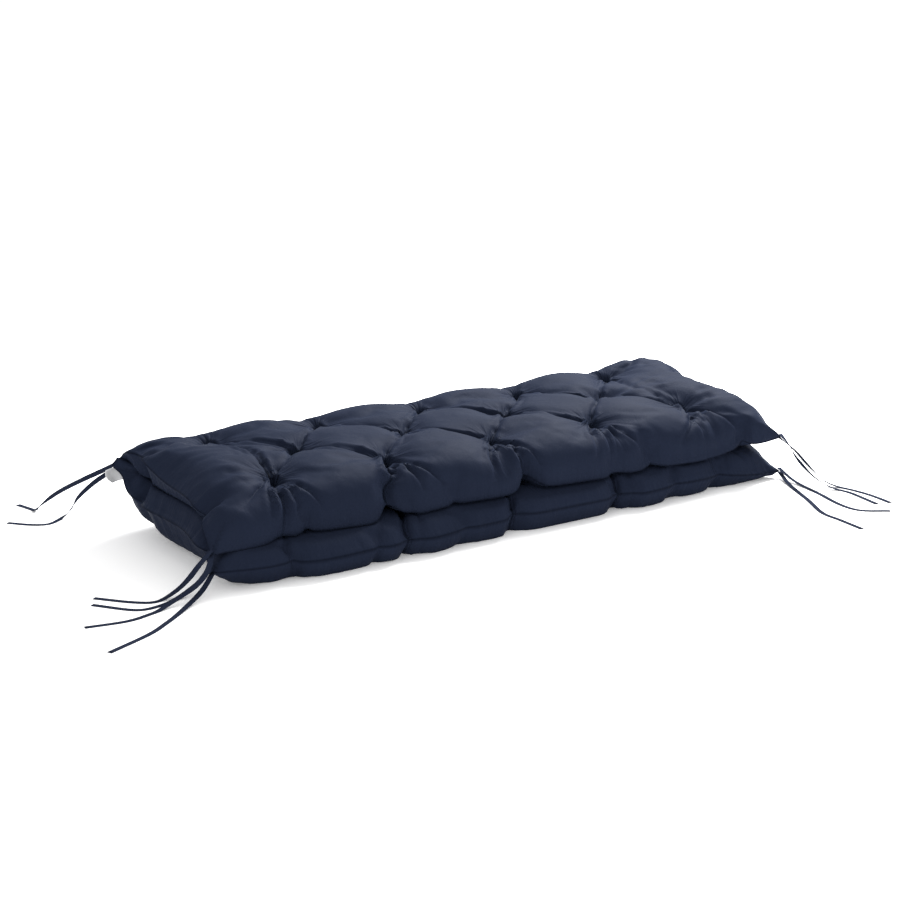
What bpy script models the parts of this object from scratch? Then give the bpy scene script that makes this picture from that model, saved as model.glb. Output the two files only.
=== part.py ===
"""Tufted bench cushion with seat and back in one, folded in half and lying on its back panel.

Metres, +Z up. X runs along the fold, the fold is at +Y and the open edges are at -Y.
The cushion is two panels sewn together round the edge and stitched through at each tuft.
A point of a panel is named by (u, v): u along the length, v across both halves.
v is negative on the half underneath, zero on the fold line and positive on the half on top.
"""

import math

import bmesh
import bpy
import numpy as np
from mathutils import Vector

NAME = "bench_cushion"

# Cut size of the panels.
LENGTH = 1.200
WIDTH = 0.980
HALF_LENGTH = LENGTH / 2
HALF_WIDTH = WIDTH / 2

# Filling: half of the thickness at a crown and at a tuft.
CROWN = 0.0455
CROWN_GAIN = 1.18
TUFT_HALF = 0.0150
OPEN_EDGE_REACH = 0.075
END_REACH = 0.125
INNER_END_REACH = 0.060
EDGE_POWER = 2.2
LEFT_PINCH = 0.70
RIGHT_PINCH = 0.24
PINCH_REACH = 0.110
DIMPLE_REACH = 0.046
DIMPLE_POWER = 1.25
CREASE_WIDTH = 0.019
CREASE_DEPTH = 0.26
PLEAT_WIDTH = 0.017
PLEAT_DEPTH = 0.34

# Tufts of one half, as distance from the fold line and number in the row.
TUFT_SPACING = 0.221
TUFT_ROWS = ((0.124, 5), (0.232, 4), (0.340, 5))

# Folded shape of the sheet midway between the panels.
FOLD_RADIUS = 0.0435
FOLD_Y = 0.1202
FOLD_Z = 0.0830
FOLD_ARC = 0.110
FRONT_ROW = 0.340
FRONT_SHRINK = 0.64
DROOP_START = 0.290
TOP_DROOP = 0.058
BOTTOM_DROOP = 0.0060
BOTTOM_OUT = 0.028
BOTTOM_SKEW = 0.016
CORNER_SPREAD = 0.120
LEFT_DROOP = 0.004
LEFT_RISE = 0.002
RIGHT_DROOP = 0.020
RIGHT_RISE = 0.010
BOTTOM_END_LIFT = 0.010
TOP_END_LIFT = 0.023
FOLD_END_LIFT = 0.030
FOLD_END_OUT = 0.004
FOLD_END_DRAW = 0.022
RIGHT_END_LIFT = 0.012
RIGHT_END_OUT = 0.016
LEFT_SEAM_LIFT = 0.018

# Where along a half, measured from the fold line, those shifts of the ends are, and how far they reach.
TOP_LIFT_AT = 0.150
TOP_LIFT_REACH = 0.070
RIGHT_END_AT = 0.090
RIGHT_END_REACH = 0.060
FOLD_DRAW_REACH = 0.090
FOLD_OUT_REACH = 0.060
FOLD_LIFT_REACH = 0.100
END_POWER = 8
CORNER_POWER = 4

# The slit between the halves and the filled length.
SLIT_HALF = 0.0030
SOFTNESS = 0.0035
FILLED_HALF_LENGTH = 0.589
END_DRAW = 0.016
CORNER_OUT = 0.006
CORNER_REACH = 0.050

# Pleats that draw the open edges in, from left to right, on the top and the bottom half.
NOTCH_IN = 0.011
NOTCH_LIFT = 0.012
NOTCH_WIDTH = 0.022
NOTCH_REACH = 0.110
TOP_PLEATS = (0.6, 1.4, 1.5, 0.3, 0.1)
BOTTOM_PLEATS = (0.3, 1.5, 1.3, 1.4, 0.4)

# How far to the right of its tuft each pleat meets the open edge.
TOP_SHIFTS = (-0.034, -0.044, 0.026, 0.0, 0.0)
BOTTOM_SHIFTS = (-0.036, -0.028, -0.016, -0.008, 0.0)

# Mesh.
CELL = 0.0125
MOST_TRIANGLES = 9000
FLOOR_SNAP = 0.0008
MERGE = 0.0001

# Ties and label.
TIE_WIDTH = 0.009
TIE_THICK = 0.0012
TIE_REST = TIE_THICK / 2
TIE_STEP = 0.016
MM_PER_M = 1000
LABEL_THICK = 0.0008
LABEL_CORNERS = (
    (-0.5710, 0.1675, 0.1180),
    (-0.5715, 0.1640, 0.0930),
    (-0.5923, 0.1643, 0.0894),
    (-0.6030, 0.1680, 0.1125),
)

# Free strands of the ties, from the seam down to the floor, in millimetres.
TIE_PATHS = {
    "fold_left_a": (
        (-571, 163, 130), (-592, 187, 110), (-619, 216, 90), (-639, 270, 60),
        (-650, 311, 35), (-661, 344, 10), (-659, 366, 0), (-670, 412, 0),
    ),
    "fold_left_b": (
        (-571, 166, 123), (-589, 189, 101), (-610, 206, 82), (-627, 238, 50),
        (-627, 277, 16), (-638, 289, 2), (-667, 273, 0), (-694, 284, 0), (-726, 319, 0),
    ),
    "top_left_a": (
        (-597.5, -211, 69), (-614, -208, 52), (-631, -202, 30), (-650, -196, 12),
        (-680, -196, 0), (-697, -195, 0), (-724, -172, 0), (-760, -128, 0),
    ),
    "top_left_b": (
        (-597.5, -213, 62), (-610, -226, 46), (-634, -230, 26), (-669, -228, 9),
        (-712, -241, 0), (-759, -252, 0), (-825, -242, 0),
    ),
    "bottom_left_a": (
        (-597.5, -211, 39), (-622, -202, 16), (-655, -206, 3), (-690, -217, 0),
        (-717, -219, 0), (-738, -205, 0), (-775, -155, 0),
    ),
    "bottom_left_b": (
        (-597.5, -213, 32), (-620, -224, 14), (-663, -252, 3), (-717, -294, 0),
        (-758, -322, 0), (-837, -358, 0),
    ),
    "top_right_a": (
        (597.5, -214, 82), (595, -240, 68), (590, -264, 52), (602, -300, 22),
        (623, -327, 4), (636, -356, 0), (626, -439, 0),
    ),
    "top_right_b": (
        (597.5, -214, 75), (609, -238, 58), (614, -266, 38), (628, -302, 10),
        (648, -335, 0), (656, -389, 0), (652, -447, 0),
    ),
    "bottom_right_a": (
        (597.5, -214, 17), (594, -256, 5), (586, -325, 0), (568, -404, 0),
        (573, -451, 0), (615, -483, 0),
    ),
    "bottom_right_b": (
        (597.5, -214, 10), (575, -266, 2), (540, -351, 0), (506, -424, 0),
        (502, -472, 0), (497, -532, 0),
    ),
    "fold_right_a": (
        (572, 165, 128), (592, 180, 118), (592, 226, 70), (566, 248, 24),
        (530, 250, 2), (480, 247, 0), (400, 250, 0),
    ),
    "fold_right_b": (
        (572, 167, 121), (598, 190, 102), (604, 236, 50), (590, 266, 16),
        (566, 275, 0), (520, 276, 0), (440, 275, 0),
    ),
}


def clear_scene():
    for obj in list(bpy.data.objects):
        bpy.data.objects.remove(obj, do_unlink=True)


def fabric(name, color, roughness):
    mat = bpy.data.materials.new(name)
    mat.use_nodes = True
    shader = mat.node_tree.nodes["Principled BSDF"]
    shader.inputs["Base Color"].default_value = (*color, 1.0)
    shader.inputs["Roughness"].default_value = roughness
    return mat


def tuft_u(k, count):
    """Where tuft k of a row of count tufts lies along the length."""
    return (k - (count - 1) / 2) * TUFT_SPACING


def tufts():
    """All tufts of both halves as (u, v)."""
    found = []
    for row, count in TUFT_ROWS:
        for k in range(count):
            u = tuft_u(k, count)
            found += [(u, row), (u, -row)]
    return found


def creases(half):
    """Lines between neighbouring tufts of one half, as pairs of (u, v)."""
    (back, _), (middle, count), (front, _) = TUFT_ROWS
    lines = []
    for k in range(count):
        u = tuft_u(k, count)
        for row in (back, front):
            lines.append(((u, half * middle), (u - TUFT_SPACING / 2, half * row)))
            lines.append(((u, half * middle), (u + TUFT_SPACING / 2, half * row)))
    return lines


def pleats(half):
    """Lines from the outer tufts of one half to the seams and to the fold line."""
    (back, _), _, (front, _) = TUFT_ROWS
    shifts = TOP_SHIFTS if half > 0 else BOTTOM_SHIFTS
    lines = []
    for k, shift in enumerate(shifts):
        u = tuft_u(k, len(shifts))
        lines.append(((u, half * front), (u + shift, half * HALF_WIDTH)))
        lines.append(((u, half * back), (u, 0.0)))
    for side in (-1, 1):
        for row, count in TUFT_ROWS:
            lines.append(((side * tuft_u(count - 1, count), half * row), (side * HALF_LENGTH, half * row)))
    return lines


def off_line(u, v, line):
    """Distance from (u, v) to a line's nearest point."""
    (u0, v0), (u1, v1) = line
    du, dv = u1 - u0, v1 - v0
    t = ((u - u0) * du + (v - v0) * dv) / (du * du + dv * dv)
    t = np.clip(t, 0.0, 1.0)
    return np.hypot(u - u0 - t * du, v - v0 - t * dv)


def bump(distance, reach):
    """One at no distance, falling off smoothly over reach."""
    return np.exp(-((distance / reach) ** 2))


def rounded(from_seam, reach):
    """Rises from nought at a seam to one at reach from it, like a quarter of an ellipse."""
    t = np.clip(from_seam / reach, 0.0, 1.0)
    return np.sqrt(1.0 - (1.0 - t) ** EDGE_POWER)


def half_thickness(u, v, outer):
    """Half of the filled thickness at (u, v)."""
    a = np.abs(v)
    fill = np.ones_like(u)
    for tu, tv in tufts():
        reach = np.hypot(u - tu, v - tv)
        fill *= 1.0 - np.exp(-((reach / DIMPLE_REACH) ** DIMPLE_POWER))
    for half in (1, -1):
        for line in creases(half):
            fill *= 1.0 - CREASE_DEPTH * bump(off_line(u, v, line), CREASE_WIDTH)
        for line in pleats(half):
            fill *= 1.0 - PLEAT_DEPTH * bump(off_line(u, v, line), PLEAT_WIDTH)
    end_reach = END_REACH if outer else INNER_END_REACH
    edge = rounded(HALF_LENGTH - np.abs(u), end_reach) * rounded(HALF_WIDTH - a, OPEN_EDGE_REACH)
    if outer:
        edge *= 1.0 - LEFT_PINCH * bump(np.hypot(u + HALF_LENGTH, v), PINCH_REACH)
        edge *= 1.0 - RIGHT_PINCH * bump(np.hypot(u - HALF_LENGTH, v), PINCH_REACH)
    return edge * (TUFT_HALF + (CROWN - TUFT_HALF) * fill * CROWN_GAIN)


def soft_limit(value, most):
    """The value where it is small, bending over to stay below most."""
    gap = (most - value) / SOFTNESS
    return most - SOFTNESS * np.logaddexp(0.0, gap)


def front_run(a):
    """Nought behind the front row and one at the open edge."""
    return np.clip((a - DROOP_START) / (HALF_WIDTH - DROOP_START), 0.0, None)


def pleat_pull(u, v):
    """How far the pleats draw in the open edge at (u, v)."""
    pull = np.zeros_like(u)
    for k, (top, bottom) in enumerate(zip(TOP_PLEATS, BOTTOM_PLEATS)):
        middle = tuft_u(k, len(TOP_PLEATS)) + np.where(v > 0, TOP_SHIFTS[k], BOTTOM_SHIFTS[k])
        pull += np.where(v > 0, top, bottom) * bump(u - middle, NOTCH_WIDTH)
    return pull * np.clip(1.0 - (HALF_WIDTH - np.abs(v)) / NOTCH_REACH, 0.0, 1.0)


def droop_at(u, top):
    """How far the open edge hangs below the flat sheet, less or more towards the corners."""
    left = bump(u + HALF_LENGTH, CORNER_SPREAD)
    right = bump(u - HALF_LENGTH, CORNER_SPREAD)
    above = TOP_DROOP + LEFT_DROOP * left - RIGHT_RISE * right
    below = BOTTOM_DROOP - LEFT_RISE * left + RIGHT_DROOP * right
    return np.where(top > 0, above, below)


def middle_sheet(u, v):
    """Points of the folded middle sheet at (u, v)."""
    a = np.abs(v)
    top = np.where(v < 0, 0.0, 1.0)
    to_edge = front_run(a)
    along = np.clip(np.abs(u) / HALF_LENGTH, 0.0, 1.0)
    ends = along**END_POWER
    corner = bump(HALF_LENGTH - np.abs(u), CORNER_REACH) * to_edge**CORNER_POWER
    angle = 0.5 * math.pi * np.clip(a / FOLD_ARC, 0.0, 1.0)
    right = np.where(u > 0, top * ends * np.sin(angle), 0.0) * bump(a - RIGHT_END_AT, RIGHT_END_REACH)

    draw = END_DRAW * np.sin(math.pi * np.clip(a / HALF_WIDTH, 0.0, 1.0)) ** 2
    draw += FOLD_END_DRAW * bump(a, FOLD_DRAW_REACH)
    x = u / HALF_LENGTH * (FILLED_HALF_LENGTH - draw * along**3 + CORNER_OUT * corner)

    flat = np.clip(a - FOLD_ARC, 0.0, FRONT_ROW - FOLD_ARC)
    front = FRONT_SHRINK * np.clip(a - FRONT_ROW, 0.0, None)
    pull = pleat_pull(u, v)
    bulge = (BOTTOM_OUT - BOTTOM_SKEW * u / HALF_LENGTH) * (1.0 - along**6) * (1 - top)
    y = FOLD_Y + FOLD_RADIUS * np.cos(angle) - flat - front - bulge * to_edge
    y += NOTCH_IN * pull - CORNER_OUT * corner
    y += FOLD_END_OUT * ends * bump(a, FOLD_OUT_REACH) + RIGHT_END_OUT * right

    z = FOLD_Z + (2 * top - 1) * FOLD_RADIUS * np.sin(angle) - droop_at(u, top) * to_edge**2
    z += (1 - top) * BOTTOM_END_LIFT * ends * (1.0 - to_edge) * np.sin(angle)
    z += np.where((u < 0) & (v < 0), LEFT_SEAM_LIFT, 0.0) * ends * (1.0 - to_edge**2) * np.sin(angle)
    z += top * (TOP_END_LIFT * ends * bump(a - TOP_LIFT_AT, TOP_LIFT_REACH) + NOTCH_LIFT * pull)
    z += FOLD_END_LIFT * ends * bump(a, FOLD_LIFT_REACH) + RIGHT_END_LIFT * right
    return x, y, z


def slit_height(u, v):
    """Height of the slit between the two halves."""
    ends = (np.abs(u) / HALF_LENGTH) ** END_POWER
    a = np.abs(v)
    lift = FOLD_END_LIFT * ends * bump(a, FOLD_LIFT_REACH) + 0.5 * BOTTOM_END_LIFT * ends
    lift += np.where(u < 0, LEFT_SEAM_LIFT, 0.0) * ends * (1.0 - front_run(a) ** 2)
    return FOLD_Z + lift - 0.5 * (TOP_DROOP + BOTTOM_DROOP) * front_run(a) ** 2


def folded(u, v, outer):
    """Points of the outer or inner panel after folding."""
    step = 1e-4
    half = half_thickness(u, v, outer)
    _, y0, z0 = middle_sheet(u, v - step)
    _, y1, z1 = middle_sheet(u, v + step)
    x, y, z = middle_sheet(u, v)
    slope = np.hypot(y1 - y0, z1 - z0)
    ny, nz = (z1 - z0) / slope, -(y1 - y0) / slope
    if outer:
        y, z = y + ny * half, np.maximum(z + nz * half, 0.0)
        return np.stack([x, y, z], axis=1)
    half = soft_limit(half, FOLD_RADIUS - SLIT_HALF)
    y, z = y - ny * half, z - nz * half
    slit = slit_height(u, v)
    room = SLIT_HALF * np.sin(0.5 * math.pi * np.clip(np.abs(v) / FOLD_ARC, 0.0, 1.0))
    z = np.where(v > 0, np.maximum(z, slit + room), np.minimum(z, slit - room))
    return np.stack([x, y, z], axis=1)


def add_panel(bm, outer):
    across = round(LENGTH / CELL)
    along = round(WIDTH / CELL)
    made = bmesh.ops.create_grid(bm, x_segments=across, y_segments=along, size=1.0)
    verts = made["verts"]
    flat = np.array([vert.co[:] for vert in verts])
    u = flat[:, 0] * HALF_LENGTH
    v = flat[:, 1] * HALF_WIDTH
    on_rim = (np.abs(np.abs(flat[:, 0]) - 1) < 1e-5) | (np.abs(np.abs(flat[:, 1]) - 1) < 1e-5)
    points = folded(u, v, outer)
    seam = folded(u[on_rim], v[on_rim], True)
    points[on_rim] = seam
    for vert, point in zip(verts, points):
        vert.co = point
    faces = list({face for vert in verts for face in vert.link_faces})
    if not outer:
        bmesh.ops.reverse_faces(bm, faces=faces)


def new_object(name, bm, mat, collection):
    mesh = bpy.data.meshes.new(name)
    bm.to_mesh(mesh)
    bm.free()
    mesh.materials.append(mat)
    obj = bpy.data.objects.new(name, mesh)
    collection.objects.link(obj)
    return obj


def split_corners(bm):
    """Cuts each corner face from its corner inwards, so that both panels keep their own faces."""
    corners = [vert for vert in bm.verts if len(vert.link_edges) == 2]
    for corner in corners:
        beside = {edge.other_vert(corner) for edge in corner.link_edges}
        for face in list(corner.link_faces):
            inside = [vert for vert in face.verts if vert is not corner and vert not in beside]
            bmesh.utils.face_split(face, corner, inside[0])


def make_cushion(mat, collection):
    bm = bmesh.new()
    add_panel(bm, True)
    add_panel(bm, False)
    bmesh.ops.remove_doubles(bm, verts=bm.verts, dist=MERGE)
    split_corners(bm)
    bmesh.ops.recalc_face_normals(bm, faces=bm.faces)
    obj = new_object("cushion", bm, mat, collection)
    full = 2 * len(obj.data.polygons)
    thin = obj.modifiers.new("thin_out", "DECIMATE")
    thin.ratio = MOST_TRIANGLES / full
    bpy.context.view_layer.update()
    graph = bpy.context.evaluated_depsgraph_get()
    mesh = bpy.data.meshes.new_from_object(obj.evaluated_get(graph))
    obj.modifiers.clear()
    obj.data = mesh
    mesh.name = "cushion"
    for vert in mesh.vertices:
        if vert.co.z < FLOOR_SNAP:
            vert.co.z = 0.0
    return obj


def smooth_path(points):
    """Points spread along a smooth line through the given ones."""
    ends = [2 * points[0] - points[1]] + points + [2 * points[-1] - points[-2]]
    path = [points[0]]
    for k in range(1, len(ends) - 2):
        p0, p1, p2, p3 = ends[k - 1 : k + 3]
        pieces = max(1, round((p2 - p1).length / TIE_STEP))
        for j in range(1, pieces + 1):
            t = j / pieces
            bend = (2 * p0 - 5 * p1 + 4 * p2 - p3) * t**2 + (3 * p1 - p0 - 3 * p2 + p3) * t**3
            path.append(0.5 * (2 * p1 + (p2 - p0) * t + bend))
    for point in path:
        point.z = max(point.z, TIE_REST)
    return path


def make_tie(name, points, mat, collection):
    """A flat tape along a path, lying level across its width."""
    path = smooth_path([Vector(p) / MM_PER_M for p in points])
    bm = bmesh.new()
    rings = []
    for k, point in enumerate(path):
        ahead = path[min(k + 1, len(path) - 1)] - path[max(k - 1, 0)]
        across = Vector((-ahead.y, ahead.x, 0.0)).normalized() * TIE_WIDTH / 2
        rise = ahead.cross(across).normalized() * TIE_THICK / 2
        if rise.z < 0:
            rise = -rise
        corners = (across - rise, across + rise, -across + rise, -across - rise)
        rings.append([bm.verts.new(point + corner) for corner in corners])
    for near, far in zip(rings, rings[1:]):
        for k in range(4):
            bm.faces.new((near[k], near[(k + 1) % 4], far[(k + 1) % 4], far[k]))
    bm.faces.new(rings[0][::-1])
    bm.faces.new(rings[-1])
    bmesh.ops.recalc_face_normals(bm, faces=bm.faces)
    return new_object(name, bm, mat, collection)


def make_label(mat, collection):
    """A blank label with one edge at the end seam, drooping outwards."""
    corners = [Vector(corner) for corner in LABEL_CORNERS]
    out = (corners[1] - corners[0]).cross(corners[3] - corners[0]).normalized()
    bm = bmesh.new()
    back = [bm.verts.new(corner - out * LABEL_THICK / 2) for corner in corners]
    front = [bm.verts.new(corner + out * LABEL_THICK / 2) for corner in corners]
    bm.faces.new(back[::-1])
    bm.faces.new(front)
    for k in range(4):
        after = (k + 1) % 4
        bm.faces.new((back[k], back[after], front[after], front[k]))
    return new_object("label", bm, mat, collection)


clear_scene()
parts = bpy.data.collections.new(NAME)
bpy.context.scene.collection.children.link(parts)
navy = fabric("navy_fabric", (0.030, 0.040, 0.072), 0.75)
make_cushion(navy, parts)
tape = fabric("navy_tape", (0.028, 0.037, 0.066), 0.80)
for tie_name, tie_points in TIE_PATHS.items():
    make_tie("tie_" + tie_name, tie_points, tape, parts)
make_label(fabric("label_grey", (0.55, 0.56, 0.58), 0.70), parts)
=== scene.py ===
"""Looks of a tufted bench cushion that lies folded in half along its length.

The cover is two panels sewn round the edge and stitched through at each tuft. It is filled
while it lies flat and then folded over a middle sheet.
A point of a panel is named by (u, v): u along the length, v across both halves,
negative on the half underneath, zero on the fold line and positive on the half on top.
"""

import math
from collections import namedtuple

import bmesh
import bpy
import numpy as np
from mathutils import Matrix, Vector


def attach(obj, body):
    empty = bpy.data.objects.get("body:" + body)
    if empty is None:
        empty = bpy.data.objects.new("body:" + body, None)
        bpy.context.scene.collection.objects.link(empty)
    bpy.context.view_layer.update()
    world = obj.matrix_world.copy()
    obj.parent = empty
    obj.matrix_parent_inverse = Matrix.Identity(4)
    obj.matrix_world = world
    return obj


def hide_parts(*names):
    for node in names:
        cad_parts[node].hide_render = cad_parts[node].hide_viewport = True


Cloth = namedtuple("Cloth", "name dark light thread sheen crinkle rough")

# Where the photograph was taken from.
AZIMUTH = math.radians(-33.5)
ELEVATION = math.radians(15.4)
LOOK_AT = Vector((-0.100, -0.139, 0.143))
DISTANCE = 3.43
LENS = 80.0

# Cut size of the panels and their tufts, in metres.
LENGTH = 1.200
WIDTH = 0.980
HALF_LENGTH = LENGTH / 2
HALF_WIDTH = WIDTH / 2
TUFT_SPACING = 0.221
TUFT_ROWS = ((0.124, 5), (0.232, 4), (0.340, 5))

# Filling of the flat cover, and the cells of each panel.
CELL = 0.010
CELLS_ALONG = round(LENGTH / CELL)
CELLS_ACROSS = round(WIDTH / CELL)
FRAMES = 24
START_HALF = 0.012
START_NOISE = 0.0004
SEED = 3
FILL_VOLUME = 0.065
FILL_PRESSURE = 2.0
CLOTH_QUALITY = 8
CLOTH_MASS = 0.3
CLOTH_TENSION = 120.0
CLOTH_COMPRESSION = 40.0
CLOTH_SHEAR = 30.0
CLOTH_BENDING = 0.05
CLOTH_AIR_DAMPING = 3.0

# Shape of the drawing-in that is taken out of the filled pad as a whole.
DRAW_IN_POWERS = 6
DRAW_IN_HIGHEST = 7

# Half of the thickness after filling. A crown is full where only 4 percent of the points are higher.
HIGH_CROWN = 96
TUFT_HALF = 0.0130
CROWN_HALF = 0.0455
SWELL_POWER = 0.90
SEAM_FADE = 0.024
EDGE_GAIN = 0.50
EDGE_GAIN_FADE = 0.035
UNDER_GAIN = 1.10
UNDER_GAIN_FADE = 0.050
PINCH = 0.75
PINCH_REACH = 0.110
INNER_SWELL = 0.034
INNER_RISE = 0.012
INNER_FADE = 0.090
END_FADE = 0.080
END_FULL = 0.024
END_BLEND = 0.020
UNDER_FILL = 0.022
UNDER_RISE = 0.012
UNDER_REACH = 0.075
CREASE_BLEND = 0.012
ON_RIM = 0.00001
FOLD_FILL = 0.0370
FOLD_FILL_AT = 0.055
FOLD_FILL_REACH = 0.040
FILL_SOFTNESS = 0.003
CORNER_HOLD = 0.050
PIT_DEPTH = 0.0050
PIT_REACH = 0.010
RIM_FLANGE = 0.0020

# Folds of the cloth: width, depth at the start, depth at the end and sway.
DIAMOND_FOLD = (0.0052, 0.0095, 0.0030, 0.003)
DIAMOND_SWAY = 0.004
TOP_PLEAT_FOLDS = (
    (0.0066, 0.0090, 0.0070, 0.006),
    (0.0072, 0.0090, 0.0140, 0.006),
    (0.0072, 0.0090, 0.0140, 0.006),
    (0.0066, 0.0090, 0.0030, 0.006),
    (0.0066, 0.0060, 0.0010, 0.006),
)
BOTTOM_PLEAT_FOLDS = (
    (0.0080, 0.0060, 0.0050, 0.006),
    (0.0080, 0.0080, 0.0160, 0.006),
    (0.0072, 0.0080, 0.0140, 0.006),
    (0.0072, 0.0080, 0.0150, 0.006),
    (0.0072, 0.0060, 0.0050, 0.006),
)
BACK_FOLD = (0.0070, 0.0060, 0.0010, 0.003)
FRONT_FOLD = (0.0052, 0.0090, 0.0036, 0.008)
FRONT_SPREADS = (-0.055, -0.024, 0.027, 0.058)
SHORT_FOLD = (0.0060, 0.0030, 0.0, 0.004)
END_FOLD = (0.0080, 0.0035, 0.0005, 0.006)
LEFT_COLUMN_FOLD = (0.0055, 0.0100, 0.0050, 0.002)
RIGHT_COLUMN_FOLD = (0.0055, 0.0060, 0.0015, 0.002)
COLUMN_BOW = 0.022
TUFT_FOLDS = 3
TUFT_FOLD_REACH = (0.030, 0.060)
TUFT_FOLD_WIDTH = (0.0050, 0.0065)
TUFT_FOLD_DEPTH = (0.0015, 0.0040)
TUFT_FOLD_SWAY = 0.006
END_SPREADS = (-0.035, 0.0, 0.035)
SPREAD_SCATTER = 0.008
FRONT_FOLD_STOP = 0.030
SHORT_FOLD_STOP = 0.3

# Gathers along the seam: how far apart, how long, how they lean, width, depth and sway.
SEAM_FOLD_START = 0.030
SEAM_FOLD_STEP = (0.018, 0.036)
SEAM_FOLD_REACH = (0.018, 0.055)
SEAM_FOLD_LEAN = 0.010
SEAM_FOLD_WIDTH = (0.0045, 0.0070)
SEAM_FOLD_DEPTH = (0.0003, 0.0018)
SEAM_FOLD_SWAY = 0.002

# Ridge beside each fold, in widths of the fold, and where its shape is cut off.
SIDE_RIDGE = 0.45
SIDE_RIDGE_AT = 1.7
FOLD_CUT = 4

# The sharp line at the bottom of the deeper folds.
SHARP_FROM = 0.0035
SHARP_FULL = 0.0095
SHARP_FADE = 0.010
SHARP_REACH = 0.010
SHARP_WIDTH = 0.0020
SHARP_DEPTH = 0.0026
RIDGE_AT = 1.9
RIDGE_SHARE = 0.6
NO_CREASE = 1.0

# Fine wrinkles round the tufts and along the seam.
FAN_REACH = 0.070
FAN_DEPTH = 0.0085
FAN_SCALE = 4.0
FAN_STEP = 1.7
FAN_CENTRE = 0.0001
NO_TUFT = 1000000000.0
GATHER_WIDTH = 0.020
GATHER_SHARE = 0.75
GATHER_LENGTH = 0.060
GATHER_REACH = 0.028
GATHER_CORNER = 0.030
GATHER_SCALE = 1.0
GATHER_END_STEP = 9.0
PULL_DETAIL = 2.5

# Folded shape of the sheet midway between the panels.
FOLD_RADIUS = 0.0435
FOLD_Y = 0.1202
FOLD_Z = 0.0830
FOLD_ARC = 0.110
FRONT_ROW = 0.340
FRONT_SHRINK = 0.64
DROOP_START = 0.290
TOP_DROOP = 0.058
BOTTOM_DROOP = 0.0060
BOTTOM_OUT = 0.028
BOTTOM_SKEW = 0.016
CORNER_SPREAD = 0.120
LEFT_DROOP = 0.004
LEFT_RISE = 0.002
RIGHT_DROOP = 0.020
RIGHT_RISE = 0.010
BOTTOM_END_LIFT = 0.010
TOP_END_LIFT = 0.023
FOLD_END_LIFT = 0.030
FOLD_END_OUT = 0.004
FOLD_END_DRAW = 0.022
RIGHT_END_LIFT = 0.012
RIGHT_END_OUT = 0.016
EAR_OUT = 0.020
EAR_REACH = 0.030
EAR_LIFT = 0.006
LEFT_SEAM_LIFT = 0.018

# Where along a half, measured from the fold line, those shifts of the ends are, and how far they reach.
TOP_LIFT_AT = 0.150
TOP_LIFT_REACH = 0.070
RIGHT_END_AT = 0.090
RIGHT_END_REACH = 0.060
FOLD_DRAW_REACH = 0.090
FOLD_OUT_REACH = 0.060
FOLD_LIFT_REACH = 0.100
END_POWER = 8
CORNER_POWER = 4
DRAW_POWER = 3
BULGE_POWER = 6
SLOPE_STEP = 0.0001

# The slit between the halves and the filled length.
SLIT_HALF = 0.0012
SOFTNESS = 0.0035
SLIT_SOFTNESS = 0.001
FLOOR_SOFTNESS = 0.0012
FILLED_HALF_LENGTH = 0.589
END_DRAW = 0.016
CORNER_OUT = 0.006
CORNER_REACH = 0.050

# Pleats that draw the open edges in, from left to right, on the top and the bottom half.
NOTCH_IN = 0.011
NOTCH_LIFT = 0.012
NOTCH_WIDTH = 0.022
NOTCH_REACH = 0.110
TOP_PLEATS = (0.6, 1.4, 1.5, 0.3, 0.1)
TOP_SHIFTS = (-0.034, -0.044, 0.026, 0.0, 0.0)
BOTTOM_PLEATS = (0.3, 1.5, 1.3, 1.4, 0.4)
BOTTOM_SHIFTS = (-0.036, -0.028, -0.016, -0.008, 0.0)

# Ties: flat tape.
TIE_WIDTH = 0.009
TIE_THICK = 0.0012
TIE_STEP = 0.010
MM_PER_M = 1000
TIE_TUCK = 0.005
TIE_TURN = math.radians(65.0)
TIE_TURN_RUN = 0.050
TIE_TURN_HEIGHT = 0.040

# Half of the tape's outline, in half widths and half thicknesses: thickest at the stitched edges.
TIE_OUTLINE = (
    (1.0, 0.0), (0.96, 0.8), (0.84, 1.0), (0.70, 0.7),
    (0.0, 0.85), (-0.70, 0.7), (-0.84, 1.0), (-0.96, 0.8),
)

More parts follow.
